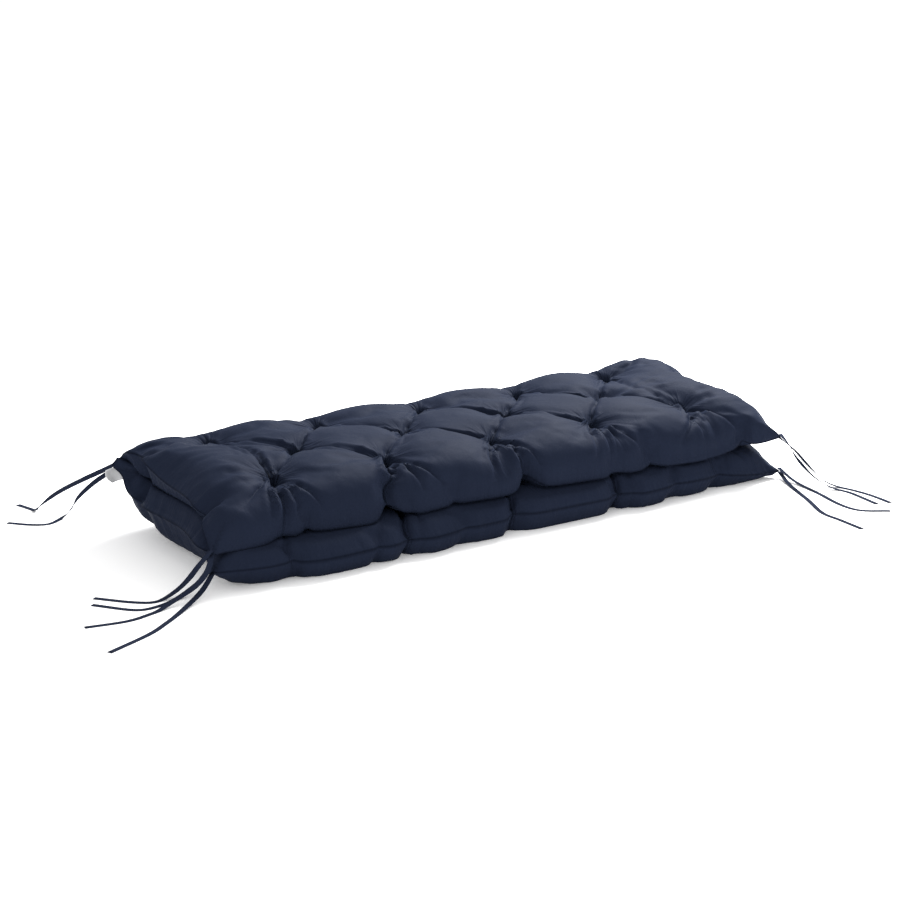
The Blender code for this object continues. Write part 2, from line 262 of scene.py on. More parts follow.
# Free strands, from the seam down to the floor, in millimetres.
TIE_PATHS = {
    "fold_left_a": (
        (-571, 163, 130), (-592, 187, 110), (-619, 216, 90), (-639, 270, 60),
        (-650, 311, 35), (-661, 344, 10), (-659, 366, 0), (-670, 412, 0),
    ),
    "fold_left_b": (
        (-571, 166, 123), (-589, 189, 101), (-610, 206, 82), (-627, 238, 50),
        (-627, 277, 16), (-638, 289, 2), (-667, 273, 0), (-694, 284, 0), (-726, 319, 0),
    ),
    "top_left_a": (
        (-597.5, -211, 69), (-614, -208, 52), (-631, -202, 30), (-650, -196, 12),
        (-680, -196, 0), (-697, -195, 0), (-724, -172, 0), (-760, -128, 0),
    ),
    "top_left_b": (
        (-597.5, -213, 62), (-610, -226, 46), (-634, -230, 26), (-669, -228, 9),
        (-712, -241, 0), (-759, -252, 0), (-825, -242, 0),
    ),
    "bottom_left_a": (
        (-597.5, -211, 39), (-622, -202, 16), (-655, -206, 3), (-690, -217, 0),
        (-717, -219, 0), (-738, -205, 0), (-775, -155, 0),
    ),
    "bottom_left_b": (
        (-597.5, -213, 32), (-620, -224, 14), (-663, -252, 3), (-717, -294, 0),
        (-758, -322, 0), (-837, -358, 0),
    ),
    "top_right_a": (
        (597.5, -214, 82), (595, -240, 68), (590, -264, 52), (602, -300, 22),
        (623, -327, 4), (636, -356, 0), (626, -439, 0),
    ),
    "top_right_b": (
        (597.5, -214, 75), (609, -238, 58), (614, -266, 38), (628, -302, 10),
        (648, -335, 0), (656, -389, 0), (652, -447, 0),
    ),
    "bottom_right_a": (
        (597.5, -214, 17), (594, -256, 5), (586, -325, 0), (568, -404, 0),
        (573, -451, 0), (615, -483, 0),
    ),
    "bottom_right_b": (
        (597.5, -214, 10), (575, -266, 2), (540, -351, 0), (506, -424, 0),
        (502, -472, 0), (497, -532, 0),
    ),
    "fold_right_a": (
        (572, 165, 128), (592, 180, 118), (592, 226, 70), (566, 248, 24),
        (530, 250, 2), (480, 247, 0), (400, 250, 0),
    ),
    "fold_right_b": (
        (572, 167, 121), (598, 190, 102), (604, 236, 50), (590, 266, 16),
        (566, 275, 0), (520, 276, 0), (440, 275, 0),
    ),
}

# Cloths: darkest and lightest dye, thread spacing in metres, sheen, crinkles and roughness.
COVER_CLOTH = Cloth(
    "cover_cloth", (0.0102, 0.0136, 0.0256, 1.0), (0.0142, 0.0190, 0.0355, 1.0),
    thread=0.0008, sheen=0.012, crinkle=0.24, rough=0.60,
)
TAPE_CLOTH = Cloth(
    "tape_cloth", (0.012, 0.016, 0.030, 1.0), (0.020, 0.026, 0.046, 1.0),
    thread=0.0006, sheen=0.0, crinkle=0.10, rough=0.85,
)
LABEL_CLOTH = Cloth(
    "label_cloth", (0.60, 0.605, 0.615, 1.0), (0.70, 0.705, 0.715, 1.0),
    thread=0.0005, sheen=0.0, crinkle=0.05, rough=0.60,
)
WAVES_PER_SCALE = 10
THREAD_WANDER = 0.4
DYE_SCALE = 9.0
DYE_DETAIL = 5.0
SLUB_SCALE = 420.0
SLUB_DETAIL = 2.0
DYE_SHARE = 0.55
SLUB_SHARE = 0.25
THREAD_SHARE = 0.20
# Painted shade: how far from the seam its darkening reaches, how dark it is there, and how dark the sharp
# creases are painted.
SEAM_LINE = 0.0018
SEAM_SHADE = 0.6
SHARP_SHADE = 0.8
CRINKLE_SCALE = 26.0
CRINKLE_DETAIL = 4.0
CRINKLE_WANDER = 1.2
CRINKLE_DEPTH = 0.004
THREAD_DEPTH = 0.0002
THREAD_BUMP = 0.25
ROUGH_SPREAD = 0.06
SHEEN_ROUGH = 0.45
SHEEN_TINT = (0.40, 0.54, 1.00, 1.0)
GLOSS = 0.012
GLOSS_TINT = (0.45, 0.58, 1.00, 1.0)

# Label: its corners, from the seam outwards.
LABEL_CORNERS = (
    (-0.5710, 0.1675, 0.1180),
    (-0.5715, 0.1640, 0.0930),
    (-0.5923, 0.1643, 0.0894),
    (-0.6030, 0.1680, 0.1125),
)
LABEL_THICK = 0.0008
LABEL_CELLS = 12
LABEL_CURL = 0.004
LABEL_SIZE = (0.028, 0.034)
LABEL_ROUND = 0.005

# Surroundings: a white floor that glows a little, painted light that lifts its shadow and lights the
# cushion from below, and one large light behind the right end.
FLOOR_SIZE = 12.0
FLOOR_WHITE = (0.97, 0.97, 0.97, 1.0)
FLOOR_ROUGH = 0.9
FLOOR_GLOW = 0.17
PURE_WHITE = (1.0, 1.0, 1.0, 1.0)
SKY_STRENGTH = 1.04
KEY_PLACE = (1.9, 1.1, 2.0)
KEY_TARGET = (0.2, 0.0, 0.1)
KEY_SIZE = 1.4
KEY_WATTS = 227.0


def add_camera():
    out = math.cos(ELEVATION)
    back = Vector((math.sin(AZIMUTH) * out, -math.cos(AZIMUTH) * out, math.sin(ELEVATION)))
    data = bpy.data.cameras.new("camera")
    data.lens = LENS
    camera = bpy.data.objects.new("camera", data)
    camera.location = LOOK_AT + back * DISTANCE
    camera.rotation_euler = (-back).to_track_quat("-Z", "Y").to_euler()
    bpy.context.scene.collection.objects.link(camera)
    bpy.context.scene.camera = camera


def new_object(name, mesh, mat):
    mesh.materials.clear()
    mesh.materials.append(mat)
    obj = bpy.data.objects.new(name, mesh)
    bpy.context.scene.collection.objects.link(obj)
    return obj


class Nodes:
    """Short names for building a node tree."""

    def __init__(self, mat):
        mat.use_nodes = True
        self.tree = mat.node_tree
        self.shader = self.tree.nodes["Principled BSDF"]

    def add(self, kind, inputs=None, **settings):
        node = self.tree.nodes.new(kind)
        for name, value in settings.items():
            setattr(node, name, value)
        for name, value in (inputs or {}).items():
            self.plug(node.inputs[name], value)
        return node

    def plug(self, socket, value):
        if isinstance(value, bpy.types.NodeSocket):
            self.tree.links.new(value, socket)
        else:
            socket.default_value = value

    def math(self, operation, a, b=0.0):
        node = self.add("ShaderNodeMath", operation=operation)
        self.plug(node.inputs[0], a)
        self.plug(node.inputs[1], b)
        return node.outputs[0]

    def blend(self, amount, a, b):
        node = self.add("ShaderNodeMix", data_type="RGBA")
        self.plug(node.inputs["Factor"], amount)
        self.plug(node.inputs[6], a)
        self.plug(node.inputs[7], b)
        return node.outputs[2]

    def noise(self, where, scale, detail, distortion=0.0):
        inputs = {"Vector": where, "Scale": scale, "Detail": detail, "Distortion": distortion}
        return self.add("ShaderNodeTexNoise", inputs).outputs["Fac"]

    def stored(self, name, output="Fac"):
        return self.add("ShaderNodeAttribute", attribute_name=name).outputs[output]

    def relief(self, height, depth, strength=1.0, below=None):
        node = self.add("ShaderNodeBump", {"Strength": strength, "Distance": depth, "Height": height})
        if below:
            self.plug(node.inputs["Normal"], below)
        return node.outputs["Normal"]


def crossing_threads(n, spacing):
    """One where a warp and a weft thread cross and nought between the threads."""
    place = n.add("ShaderNodeUVMap", uv_map="cloth").outputs["UV"]
    scale = math.pi / spacing / WAVES_PER_SCALE
    waves = {"Vector": place, "Scale": scale, "Distortion": THREAD_WANDER}
    warp = n.add("ShaderNodeTexWave", waves)
    weft = n.add("ShaderNodeTexWave", waves, bands_direction="Y")
    return n.math("MULTIPLY", warp.outputs["Fac"], weft.outputs["Fac"])


def sharp_line(n, at=0.0):
    """One along a line at so many widths beside a sharp crease, falling off away from it."""
    off = n.math("SUBTRACT", n.math("DIVIDE", n.stored("crease"), SHARP_WIDTH), at)
    fall = n.math("POWER", math.exp(-1.0), n.math("MULTIPLY", off, off))
    return n.math("MULTIPLY", fall, n.stored("crease_pull"))


def pulled(n, name, scale):
    """Wrinkles that run the way the stitching pulls, strongest beside it."""
    lines = n.noise(n.stored(name, "Vector"), scale, PULL_DETAIL)
    return n.math("MULTIPLY", lines, n.stored(name + "_pull"))


def with_painted_shade(n, color, dark):
    """The colour with painted shade: darker along the seam and in the sharp creases."""
    shade = tuple(SEAM_SHADE * part for part in dark[:3]) + (1.0,)
    beside = n.add("ShaderNodeMapRange", {"Value": n.stored("from_seam"), "From Max": SEAM_LINE})
    color = n.blend(beside.outputs["Result"], shade, color)
    return n.blend(n.math("MULTIPLY", sharp_line(n), SHARP_SHADE), color, shade)


def wrinkles(n):
    """Relief of the fine wrinkles round the tufts and along the seam, and of the sharp creases."""
    gathers = n.math("MULTIPLY", pulled(n, "gather", GATHER_SCALE), GATHER_SHARE)
    drawn = n.relief(n.math("ADD", pulled(n, "fan", FAN_SCALE), gathers), FAN_DEPTH)
    ridge = n.math("MULTIPLY", sharp_line(n, RIDGE_AT), RIDGE_SHARE)
    return n.relief(n.math("SUBTRACT", ridge, sharp_line(n)), SHARP_DEPTH, below=drawn)


def woven(cloth, wrinkled=False):
    """Plain woven cloth: crossing threads, uneven dye and fine crinkles."""
    mat = bpy.data.materials.new(cloth.name)
    n = Nodes(mat)
    threads = crossing_threads(n, cloth.thread)
    solid = n.add("ShaderNodeTexCoord").outputs["Object"]
    slub = n.noise(solid, SLUB_SCALE, SLUB_DETAIL)
    tone = n.math("MULTIPLY", n.noise(solid, DYE_SCALE, DYE_DETAIL), DYE_SHARE)
    tone = n.math("ADD", tone, n.math("MULTIPLY", slub, SLUB_SHARE))
    tone = n.math("ADD", tone, n.math("MULTIPLY", threads, THREAD_SHARE))
    color = n.blend(tone, cloth.dark, cloth.light)
    below = wrinkles(n) if wrinkled else None
    crinkle = n.noise(solid, CRINKLE_SCALE, CRINKLE_DETAIL, CRINKLE_WANDER)
    crinkles = n.relief(crinkle, CRINKLE_DEPTH, cloth.crinkle, below)
    rough = {"Value": slub, "To Min": cloth.rough - ROUGH_SPREAD, "To Max": cloth.rough + ROUGH_SPREAD}
    shader = n.shader.inputs
    # The cover's base colour carries painted shade along the seam and in the sharp creases.
    n.plug(shader["Base Color"], with_painted_shade(n, color, cloth.dark) if wrinkled else color)
    n.plug(shader["Normal"], n.relief(threads, THREAD_DEPTH, THREAD_BUMP, crinkles))
    n.plug(shader["Roughness"], n.add("ShaderNodeMapRange", rough).outputs["Result"])
    n.plug(shader["Sheen Weight"], cloth.sheen)
    n.plug(shader["Sheen Roughness"], SHEEN_ROUGH)
    n.plug(shader["Sheen Tint"], SHEEN_TINT)
    n.plug(shader["Specular IOR Level"], GLOSS)
    n.plug(shader["Specular Tint"], GLOSS_TINT)
    return mat


def tuft_u(k, count):
    """Where tuft k of a row of count tufts lies along the length."""
    return (k - (count - 1) / 2) * TUFT_SPACING


def tufts():
    """All tufts of both halves as (u, v)."""
    found = []
    for row, count in TUFT_ROWS:
        for k in range(count):
            u = tuft_u(k, count)
            found += [(u, row), (u, -row)]
    return found


def cover_points(bm):
    """The points of both panels by (column, row, side), a little domed, with one rim for both."""
    rest = bm.verts.layers.float_vector.new("rest")
    rng = np.random.default_rng(SEED)
    grid = {}
    for i in range(CELLS_ALONG + 1):
        for j in range(CELLS_ACROSS + 1):
            u = -HALF_LENGTH + i * LENGTH / CELLS_ALONG
            v = -HALF_WIDTH + j * WIDTH / CELLS_ACROSS
            on_rim = i in (0, CELLS_ALONG) or j in (0, CELLS_ACROSS)
            dome = math.sqrt(abs(math.cos(math.pi * u / LENGTH) * math.cos(math.pi * v / WIDTH)))
            for side in (1, -1):
                if on_rim and side == -1:
                    grid[i, j, side] = grid[i, j, 1]
                    continue
                rise = 0.0 if on_rim else START_HALF * dome * side
                vert = bm.verts.new((u, v, rise + rng.normal(0.0, START_NOISE)))
                vert[rest] = (u, v, 0.0 if on_rim else side)
                grid[i, j, side] = vert
    return grid


def flat_cover():
    """The two flat panels, joined round the rim, with a loose edge across each tuft."""
    bm = bmesh.new()
    grid = cover_points(bm)
    for i in range(CELLS_ALONG):
        for j in range(CELLS_ACROSS):
            corners = ((i, j), (i + 1, j), (i + 1, j + 1), (i, j + 1))
            bm.faces.new([grid[a, b, 1] for a, b in corners])
            bm.faces.new([grid[a, b, -1] for a, b in reversed(corners)])
    for u, v in tufts():
        i = round((u + HALF_LENGTH) / LENGTH * CELLS_ALONG)
        j = round((v + HALF_WIDTH) / WIDTH * CELLS_ACROSS)
        bm.edges.new((grid[i, j, 1], grid[i, j, -1]))
    mesh = bpy.data.meshes.new("cover")
    bm.to_mesh(mesh)
    bm.free()
    return mesh


def fill(obj):
    """Fills the flat cover and pulls the tufts together."""
    cloth = obj.modifiers.new("fill", "CLOTH")
    settings = cloth.settings
    settings.quality = CLOTH_QUALITY
    settings.mass = CLOTH_MASS
    settings.tension_stiffness = CLOTH_TENSION
    settings.compression_stiffness = CLOTH_COMPRESSION
    settings.shear_stiffness = CLOTH_SHEAR
    settings.bending_stiffness = CLOTH_BENDING
    settings.air_damping = CLOTH_AIR_DAMPING
    settings.use_pressure = True
    settings.uniform_pressure_force = FILL_PRESSURE
    settings.use_pressure_volume = True
    settings.target_volume = FILL_VOLUME
    settings.use_sewing_springs = True
    settings.effector_weights.gravity = 0.0
    cloth.collision_settings.use_collision = False
    cloth.collision_settings.use_self_collision = False
    cloth.point_cache.frame_end = FRAMES
    for step in range(1, FRAMES + 1):
        bpy.context.scene.frame_set(step)


def evaluated_mesh(obj):
    bpy.context.view_layer.update()
    graph = bpy.context.evaluated_depsgraph_get()
    return bpy.data.meshes.new_from_object(obj.evaluated_get(graph))


def filled_cover():
    """The filled flat cover as a fine mesh, with its rest position kept on each vertex."""
    obj = bpy.data.objects.new("cover", flat_cover())
    bpy.context.scene.collection.objects.link(obj)
    fill(obj)
    filled = evaluated_mesh(obj)
    obj.modifiers.clear()
    bpy.context.scene.frame_set(1)
    bm = bmesh.new()
    bm.from_mesh(filled)
    threads = [edge for edge in bm.edges if not edge.link_faces]
    bmesh.ops.delete(bm, geom=threads, context="EDGES")
    bm.to_mesh(filled)
    bm.free()
    obj.data = filled
    finer = obj.modifiers.new("finer", "SUBSURF")
    finer.levels = 1
    finer.render_levels = 1
    fine = evaluated_mesh(obj)
    bpy.data.objects.remove(obj)
    return fine


def vectors(mesh, name):
    flat = np.zeros(len(mesh.vertices) * 3)
    mesh.attributes[name].data.foreach_get("vector", flat)
    return flat.reshape(-1, 3)


def spread_back(co, rest):
    """Takes out the drawing-in of the filled pad as a whole and keeps its local folds."""
    s = (rest[:, 0] / HALF_LENGTH) ** 2
    t = (rest[:, 1] / HALF_WIDTH) ** 2
    powers = [(i, j) for i in range(DRAW_IN_POWERS) for j in range(DRAW_IN_POWERS)]
    terms = [s**i * t**j for i, j in powers if i + j < DRAW_IN_HIGHEST]
    places = []
    for axis in (0, 1):
        odd = np.stack([rest[:, axis] * term for term in terms], axis=1)
        shift = co[:, axis] - rest[:, axis]
        weights = np.linalg.lstsq(odd, shift, rcond=None)[0]
        places.append(co[:, axis] - odd @ weights)
    to_corner = np.hypot(HALF_LENGTH - np.abs(rest[:, 0]), HALF_WIDTH - np.abs(rest[:, 1]))
    hold = np.exp(-((to_corner / CORNER_HOLD) ** 2))
    return [place + (rest[:, axis] - place) * hold for axis, place in enumerate(places)]


def swayed(start, end, rng, sway):
    """The middle between two points, a little off the straight line."""
    return 0.5 * (start + end) + rng.normal(0.0, sway, 2)


def diamond_folds(half, rng):
    """Folds from each tuft of the middle row to its four neighbours."""
    (back, _), (middle, count), (front, _) = TUFT_ROWS
    lines = []
    for k in range(count):
        here = np.array((tuft_u(k, count), half * middle))
        for row in (back, front):
            for side in (-1, 1):
                there = np.array((here[0] + side * TUFT_SPACING / 2, half * row))
                halfway = swayed(here, there, rng, DIAMOND_SWAY)
                lines += [(here, halfway, DIAMOND_FOLD), (there, halfway, DIAMOND_FOLD)]
    return lines


def edge_folds(half, rng):
    """Folds from the front row down to the open edge and from the back row over the fold."""
    back, front = half * TUFT_ROWS[0][0], half * TUFT_ROWS[2][0]
    shifts = TOP_SHIFTS if half > 0 else BOTTOM_SHIFTS
    pleat_folds = TOP_PLEAT_FOLDS if half > 0 else BOTTOM_PLEAT_FOLDS
    lines = []
    for k, (shift, pleat) in enumerate(zip(shifts, pleat_folds)):
        u = tuft_u(k, len(shifts))
        lines.append(((u, front), (u + shift, half * HALF_WIDTH), pleat))
        lines.append(((u, back), (u, 0.0), BACK_FOLD))
        for spread in FRONT_SPREADS:
            end = (u + spread + rng.normal(0.0, SPREAD_SCATTER), half * (HALF_WIDTH - FRONT_FOLD_STOP))
            lines.append(((u, front), end, FRONT_FOLD))
            end = (u + spread + rng.normal(0.0, SPREAD_SCATTER), back * SHORT_FOLD_STOP)
            lines.append(((u, back), end, SHORT_FOLD))
    return lines


def end_folds(half):
    """Folds from the outermost tufts of each row to the ends."""
    lines = []
    for row, count in TUFT_ROWS:
        for side in (-1, 1):
            start = (side * tuft_u(count - 1, count), half * row)
            for spread in END_SPREADS:
                lines.append((start, (side * HALF_LENGTH, half * (row + spread)), END_FOLD))
    return lines


def column_folds(half):
    """Folds between the outermost tufts of the back and the front row."""
    back, front = half * TUFT_ROWS[0][0], half * TUFT_ROWS[2][0]
    lines = []
    for side, fold in ((-1, LEFT_COLUMN_FOLD), (1, RIGHT_COLUMN_FOLD)):
        u = side * TUFT_SPACING * (TUFT_ROWS[0][1] - 1) / 2
        halfway = (u - side * COLUMN_BOW, 0.5 * (back + front))
        lines += [((u, back), halfway, fold), ((u, front), halfway, fold)]
    return lines


def tuft_folds(rng):
    """Short folds that run out of each tuft every way."""
    lines = []
    for u, v in tufts():
        for turn in range(TUFT_FOLDS):
            angle = 2 * math.pi * (turn + rng.uniform(0.0, 1.0)) / TUFT_FOLDS
            reach = rng.uniform(*TUFT_FOLD_REACH)
            end = (u + reach * math.cos(angle), v + reach * math.sin(angle))
            fold = (rng.uniform(*TUFT_FOLD_WIDTH), rng.uniform(*TUFT_FOLD_DEPTH), 0.0, TUFT_FOLD_SWAY)
            lines.append(((u, v), end, fold))
    return lines


def seam_folds(rng):
    """Gathers that run inwards from the seam all the way round."""
    lines = []
    for along, across, swapped in ((HALF_LENGTH, HALF_WIDTH, False), (HALF_WIDTH, HALF_LENGTH, True)):
        for side in (-1, 1):
            run = SEAM_FOLD_START - along
            while run < along - SEAM_FOLD_START:
                start = (run, side * across)
                lean = rng.normal(0.0, SEAM_FOLD_LEAN)
                end = (run + lean, side * (across - rng.uniform(*SEAM_FOLD_REACH)))
                if swapped:
                    start, end = start[::-1], end[::-1]
                fold = (rng.uniform(*SEAM_FOLD_WIDTH), rng.uniform(*SEAM_FOLD_DEPTH), 0.0, SEAM_FOLD_SWAY)
                lines.append((start, end, fold))
                run += rng.uniform(*SEAM_FOLD_STEP)
    return lines


def crease_lines():
    """Folds of the cloth as (start, end, width, depth at start, depth at end), in (u, v)."""
    rng = np.random.default_rng(SEED)
    lines = []
    for half in (1, -1):
        lines += diamond_folds(half, rng) + edge_folds(half, rng)
        lines += end_folds(half) + column_folds(half)
    lines += tuft_folds(rng) + seam_folds(rng)
    pieces = []
    for start, end, (width, near_depth, far_depth, sway) in lines:
        start, end = np.array(start), np.array(end)
        middle = swayed(start, end, rng, sway)
        half_way = 0.5 * (near_depth + far_depth)
        pieces.append((start, middle, width, near_depth, half_way))
        pieces.append((middle, end, width, half_way, far_depth))
    return pieces


def creases(rest):
    """Rise of the cloth where folds run over it: a valley with a ridge beside it."""
    place = rest[:, :2]
    rise = np.zeros(len(rest))
    for start, end, width, near_depth, far_depth in crease_lines():
        along = end - start
        length = float(np.hypot(*along))
        along = along / length
        off = place - start
        run = off @ along
        aside = off @ np.array([-along[1], along[0]])
        beyond = np.maximum(np.maximum(-run, run - length), 0.0)
        mark = np.nonzero((np.abs(aside) < FOLD_CUT * width) & (beyond < FOLD_CUT * width))[0]
        t = np.clip(run[mark] / length, 0.0, 1.0)
        depth = near_depth + (far_depth - near_depth) * t
        x = aside[mark] / width
        shape = SIDE_RIDGE * bump(x - SIDE_RIDGE_AT, 1.0) - bump(x, 1.0)
        rise[mark] += depth * shape * bump(beyond[mark], width)
    return rise


def from_edges(rest):
    """Distance of each point of the flat cover from the ends and from the open edges."""
    return HALF_LENGTH - np.abs(rest[:, 0]), HALF_WIDTH - np.abs(rest[:, 1])


def fullness(rest, underneath):
    """Fuller towards the open edges and pinched at the left end of the fold."""
    from_end, from_front = from_edges(rest)
    gain = np.where(underneath, UNDER_GAIN, EDGE_GAIN)
    fade = np.where(underneath, UNDER_GAIN_FADE, EDGE_GAIN_FADE)
    plump = 1.0 + gain * np.exp(-from_front / fade) * (1.0 - np.exp(-from_end / END_FADE))
    to_fold_end = np.hypot(rest[:, 0] + HALF_LENGTH, rest[:, 1])
    return plump * (1.0 - PINCH * bump(to_fold_end, PINCH_REACH))


def end_filling(rest, reach, side, underneath):
    """Extra thickness of the inner panels and of the underside near the ends."""
    from_end, _ = from_edges(rest)
    full = (1.0 - np.exp(-from_end / INNER_RISE)) * bump(from_end, INNER_FADE)
    full *= np.clip(reach / END_BLEND, 0.0, 1.0)
    full *= np.clip(1.0 - front_run(np.abs(rest[:, 1])), 0.0, 1.0) ** 2
    return np.where(side < 0, INNER_SWELL, np.where(underneath, END_FULL, 0.0)) * full


def under_filling(rest, reach, underneath):
    """Extra thickness of the underside just behind the open edge."""
    from_end, from_front = from_edges(rest)
    full = (1.0 - np.exp(-reach / UNDER_RISE)) * bump(from_front, UNDER_REACH)
    return np.where(underneath, UNDER_FILL, 0.0) * full * (1.0 - np.exp(-from_end / END_FADE))


def over_the_fold(half, rest, side):
    """The thickness, kept full where the outer panel turns over the fold."""
    from_end, _ = from_edges(rest)
    over = bump(np.abs(rest[:, 1]) - FOLD_FILL_AT, FOLD_FILL_REACH) * (side > 0)
    over *= 1.0 - bump(from_end, INNER_FADE)
    fuller = FILL_SOFTNESS * np.logaddexp(half / FILL_SOFTNESS, FOLD_FILL / FILL_SOFTNESS)
    return half + over * (fuller - half)


def pits(rest):
    """Depth of the small pits at the tufts."""
    depth = np.zeros(len(rest))
    for u, v in tufts():
        depth += PIT_DEPTH * bump(np.hypot(rest[:, 0] - u, rest[:, 1] - v), PIT_REACH)
    return depth


def half_thickness(co, rest):
    """Half of the thickness at each point, its distance from the seam and its side."""
    reach = np.minimum(*from_edges(rest))
    side = np.sign(rest[:, 2])
    underneath = (side > 0) & (rest[:, 1] < 0)
    swell = np.clip(co[:, 2] * side, 0.0, None)
    swell /= float(np.percentile(swell, HIGH_CROWN))
    half = TUFT_HALF * (1.0 - np.exp(-reach / SEAM_FADE))
    half += (CROWN_HALF - TUFT_HALF) * swell**SWELL_POWER
    half *= fullness(rest, underneath)
    half += creases(rest) * np.clip(reach / CREASE_BLEND, 0.0, 1.0)
    half += end_filling(rest, reach, side, underneath) + under_filling(rest, reach, underneath)
    half = over_the_fold(half, rest, side) - pits(rest)
    return np.where(reach < ON_RIM, 0.0, np.clip(half, 0.0, None)), reach, side


def soft_limit(value, most, softness):
    """The value where it is small, bending over to stay below most."""
    return most - softness * np.logaddexp(0.0, (most - value) / softness)


def bump(distance, reach):
    """One at no distance, falling off smoothly over reach."""
    return np.exp(-((distance / reach) ** 2))


def front_run(a):
    """Nought behind the front row and one at the open edge."""
    return np.clip((a - DROOP_START) / (HALF_WIDTH - DROOP_START), 0.0, None)


def pleat_pull(u, v):
    """How far the pleats draw in the open edge at (u, v)."""
    pull = np.zeros_like(u)
    for k, (top, bottom) in enumerate(zip(TOP_PLEATS, BOTTOM_PLEATS)):
        middle = tuft_u(k, len(TOP_PLEATS)) + np.where(v > 0, TOP_SHIFTS[k], BOTTOM_SHIFTS[k])
        pull += np.where(v > 0, top, bottom) * bump(u - middle, NOTCH_WIDTH)
    return pull * np.clip(1.0 - (HALF_WIDTH - np.abs(v)) / NOTCH_REACH, 0.0, 1.0)


def droop_at(u, top):
    """How far the open edge hangs below the flat sheet, less or more towards the corners."""
    left = bump(u + HALF_LENGTH, CORNER_SPREAD)
    right = bump(u - HALF_LENGTH, CORNER_SPREAD)
    above = TOP_DROOP + LEFT_DROOP * left - RIGHT_RISE * right
    below = BOTTOM_DROOP - LEFT_RISE * left + RIGHT_DROOP * right
    return np.where(top > 0, above, below)


def middle_sheet(u, v):
    """Points of the folded middle sheet at (u, v)."""
    a = np.abs(v)
    top = np.where(v < 0, 0.0, 1.0)
    to_edge = front_run(a)
    along = np.clip(np.abs(u) / HALF_LENGTH, 0.0, 1.0)
    ends = along**END_POWER
    corner = bump(HALF_LENGTH - np.abs(u), CORNER_REACH) * to_edge**CORNER_POWER
    angle = 0.5 * math.pi * np.clip(a / FOLD_ARC, 0.0, 1.0)
    right = np.where(u > 0, top * ends * np.sin(angle), 0.0) * bump(a - RIGHT_END_AT, RIGHT_END_REACH)

    draw = END_DRAW * np.sin(math.pi * np.clip(a / HALF_WIDTH, 0.0, 1.0)) ** 2
    draw += FOLD_END_DRAW * bump(a, FOLD_DRAW_REACH)
    ear = ends * bump(a, EAR_REACH)
    reach = FILLED_HALF_LENGTH - draw * along**DRAW_POWER + CORNER_OUT * corner + EAR_OUT * ear
    x = u / HALF_LENGTH * reach

    flat = np.clip(a - FOLD_ARC, 0.0, FRONT_ROW - FOLD_ARC)
    front = FRONT_SHRINK * np.clip(a - FRONT_ROW, 0.0, None)
    pull = pleat_pull(u, v)
    bulge = (BOTTOM_OUT - BOTTOM_SKEW * u / HALF_LENGTH) * (1.0 - along**BULGE_POWER) * (1 - top)
    y = FOLD_Y + FOLD_RADIUS * np.cos(angle) - flat - front - bulge * to_edge
    y += NOTCH_IN * pull - CORNER_OUT * corner
    y += FOLD_END_OUT * ends * bump(a, FOLD_OUT_REACH) + RIGHT_END_OUT * right

    z = FOLD_Z + (2 * top - 1) * FOLD_RADIUS * np.sin(angle) - droop_at(u, top) * to_edge**2
    z += (1 - top) * BOTTOM_END_LIFT * ends * (1.0 - to_edge) * np.sin(angle)
    z += top * (TOP_END_LIFT * ends * bump(a - TOP_LIFT_AT, TOP_LIFT_REACH) + NOTCH_LIFT * pull)
    z += np.where((u < 0) & (v < 0), LEFT_SEAM_LIFT, 0.0) * ends * (1.0 - to_edge**2) * np.sin(angle)
    z += FOLD_END_LIFT * ends * bump(a, FOLD_LIFT_REACH) + RIGHT_END_LIFT * right + EAR_LIFT * ear
    return x, y, z


def slit_height(u, v):
    """Height of the slit between the two halves."""
    ends = (np.abs(u) / HALF_LENGTH) ** END_POWER
    a = np.abs(v)
    lift = FOLD_END_LIFT * ends * bump(a, FOLD_LIFT_REACH) + 0.5 * BOTTOM_END_LIFT * ends
    lift += np.where(u < 0, LEFT_SEAM_LIFT, 0.0) * ends * (1.0 - front_run(a) ** 2)
    return FOLD_Z + lift - 0.5 * (TOP_DROOP + BOTTOM_DROOP) * front_run(a) ** 2


def folded(u, v, half, side):
    """Points of the cover after folding, with side +1 on the outer panel and -1 on the inner."""
    _, y0, z0 = middle_sheet(u, v - SLOPE_STEP)
    _, y1, z1 = middle_sheet(u, v + SLOPE_STEP)
    x, y, z = middle_sheet(u, v)
    slope = np.hypot(y1 - y0, z1 - z0)
    ny, nz = (z1 - z0) / slope, -(y1 - y0) / slope
    inner = soft_limit(half, FOLD_RADIUS - SLIT_HALF, SOFTNESS)
    off = np.where(side < 0, -inner, half)
    y, z = y + ny * off, z + nz * off
    slit = slit_height(u, v)
    room = SLIT_HALF * np.sin(0.5 * math.pi * np.clip(np.abs(v) / FOLD_ARC, 0.0, 1.0))
    above = slit + room - soft_limit(slit + room - z, 0.0, SLIT_SOFTNESS)
    below = soft_limit(z, slit - room, SLIT_SOFTNESS)
    z = np.where(side < 0, np.where(v > 0, above, below), z)
    z = np.where(side < 0, z, FLOOR_SOFTNESS * np.logaddexp(0.0, z / FLOOR_SOFTNESS))
    return np.stack([x, y, z], axis=1)


def make_cushion(mat):
    mesh = filled_cover()
    rest = vectors(mesh, "rest")
    co = np.zeros(len(rest) * 3)
    mesh.vertices.foreach_get("co", co)
    co = co.reshape(-1, 3)
    u, v = spread_back(co, rest)
    half, reach, side = half_thickness(co, rest)
    flange = 1.0 + RIM_FLANGE / HALF_WIDTH * (reach < ON_RIM)
    points = folded(u * flange, v * flange, half, side)
    mesh.vertices.foreach_set("co", points.ravel())
    cloth_map(mesh, rest[:, :2])
    add_pull(mesh, rest[:, :2], reach)
    mesh.shade_smooth()
    return new_object("cover", mesh, mat)


